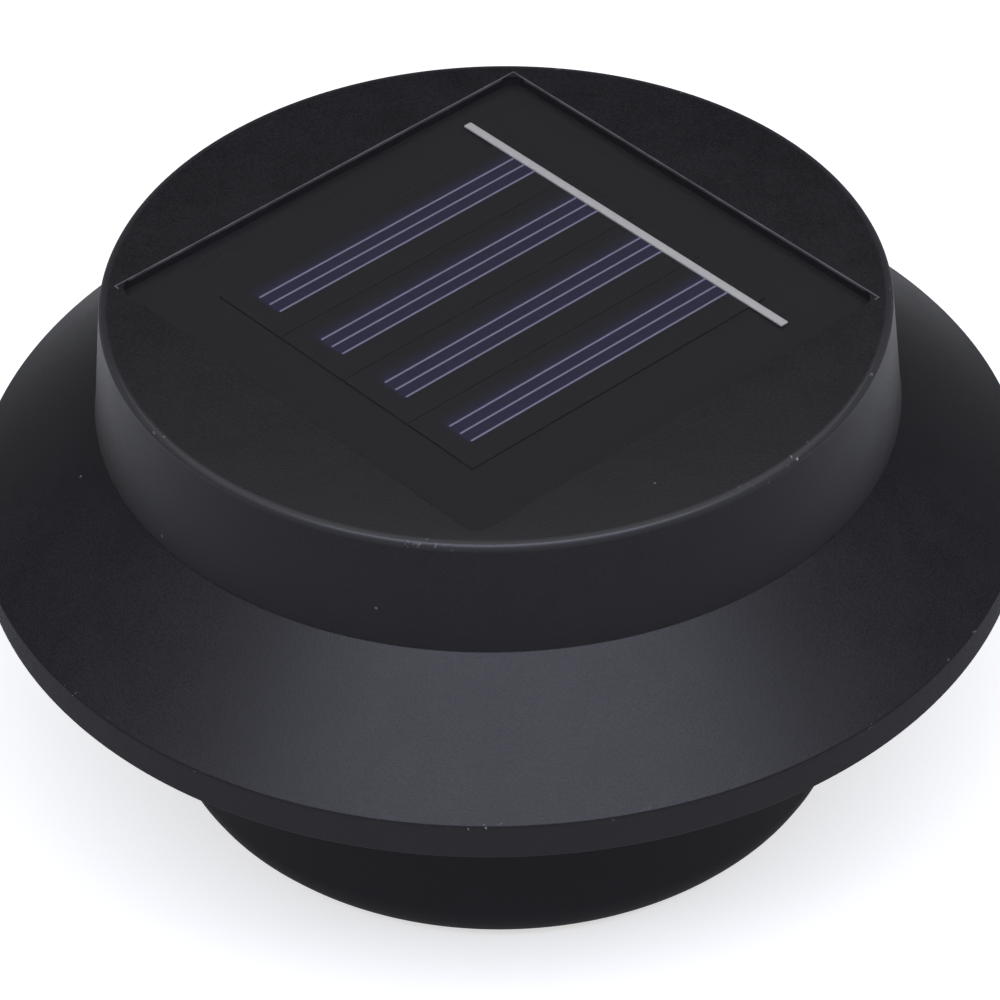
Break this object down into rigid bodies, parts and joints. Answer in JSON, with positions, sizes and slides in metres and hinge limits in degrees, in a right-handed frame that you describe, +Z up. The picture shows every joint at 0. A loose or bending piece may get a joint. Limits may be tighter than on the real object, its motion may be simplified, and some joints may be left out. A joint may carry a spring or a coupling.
{
  "type": "solar fence light",
  "caption": "Round solar light with a brimmed hat, a square panel on top and a down-facing lens, hooked over a fence board or gutter lip by a clamp bracket.",
  "frame": {"origin": "centre of the flat ring that the bowl stands on, in the plane of that ring", "axes": "+Z up along the lamp axis, +Y towards the bracket and its clamp screws, X along the bracket strip's width"},
  "size_m": [0.12, 0.141, 0.063],
  "materials": {
    "cap_plastic": "fine-grained moulded black, satin",
    "bowl_plastic": "fine-grained moulded black",
    "seal_rubber": "soft matt",
    "adhesive_foam": "matt foam tape",
    "panel_backing": "black laminate",
    "solar_cell": "dark blue-black, glossy",
    "silver_line": "printed silver, dull",
    "tinned_ribbon": "tinned, dull",
    "panel_cover": "clear, satin",
    "clear_lens": "clear moulded",
    "reflector_plating": "vacuum plated",
    "led_resin": "clear resin over yellow phosphor",
    "circuit_board": "green solder mask",
    "chip_resin": "black epoxy",
    "inductor_core": "lacquered ferrite",
    "battery_sleeve": "plain shrink sleeve over a steel can",
    "holder_plastic": "moulded black",
    "contact_nickel": "nickel plated",
    "foam_pad": "black foam tape",
    "switch_case": "tinned steel",
    "switch_knob": "moulded black",
    "wire_red": "PVC",
    "wire_black": "PVC",
    "screw_zinc": "bright zinc",
    "bracket_steel": "brushed stainless",
    "clamp_pad_nylon": "black nylon"
  },
  "bodies": {
    "lamp": {"top_cap": "cap_plastic", "seal_ring": "seal_rubber", "panel_adhesive": "adhesive_foam", "panel_board": "panel_backing", "panel_cover": "panel_cover", "bus_bar": "tinned_ribbon", "lower_bowl": "bowl_plastic", "housing_screws": "screw_zinc", "lens": "clear_lens", "reflector": "reflector_plating", "led_board": "circuit_board", "board_screws": "screw_zinc", "driver_chip": "chip_resin", "inductor": "inductor_core", "battery_cell": "battery_sleeve", "battery_holder": "holder_plastic", "battery_plus_contact": "contact_nickel", "battery_minus_contact": "contact_nickel", "holder_pad": "foam_pad", "switch_body": "switch_case", "switch_pins": "contact_nickel", "panel_wire_red": "wire_red", "panel_wire_black": "wire_black", "battery_wire_red": "wire_red", "battery_wire_black": "wire_black", "switch_wire_1": "wire_red", "switch_wire_2": "wire_black", "bracket": "bracket_steel", "bracket_screws": "screw_zinc", "clamp_nuts": "screw_zinc", "cell_strip_1": "solar_cell", "finger_lines_1": "silver_line", "cell_strip_2": "solar_cell", "finger_lines_2": "silver_line", "cell_strip_3": "solar_cell", "finger_lines_3": "silver_line", "cell_strip_4": "solar_cell", "finger_lines_4": "silver_line", "led_1": "led_resin", "led_2": "led_resin", "led_3": "led_resin"},
    "slider": {"switch_slider": "switch_knob"},
    "left_pad": {"clamp_pad_left": "clamp_pad_nylon"},
    "left_screw": {"clamp_screw_left": "screw_zinc"},
    "right_pad": {"clamp_pad_right": "clamp_pad_nylon"},
    "right_screw": {"clamp_screw_right": "screw_zinc"}
  },
  "joints": [
    {"name": "switch_slide", "type": "slide", "parent": "lamp", "child": "slider", "axis": [1, 0, 0], "range_m": [0, 0.002]},
    {"name": "left_clamp_travel", "type": "slide", "parent": "lamp", "child": "left_pad", "axis": [0, -1, 0], "range_m": [0, 0.01]},
    {"name": "left_clamp_turn", "type": "hinge", "parent": "left_pad", "child": "left_screw", "pos_m": [-0.007, 0.07, 0.0125], "axis": [0, -1, 0], "range_deg": [0, 5143]},
    {"name": "right_clamp_travel", "type": "slide", "parent": "lamp", "child": "right_pad", "axis": [0, -1, 0], "range_m": [0, 0.01]},
    {"name": "right_clamp_turn", "type": "hinge", "parent": "right_pad", "child": "right_screw", "pos_m": [0.007, 0.07, 0.0125], "axis": [0, -1, 0], "range_deg": [0, 5143]}
  ],
  "couplings": [
    {"joint": "left_clamp_turn", "follows": "left_clamp_travel", "rad_per_m": 8976},
    {"joint": "right_clamp_turn", "follows": "right_clamp_travel", "rad_per_m": 8976}
  ]
}
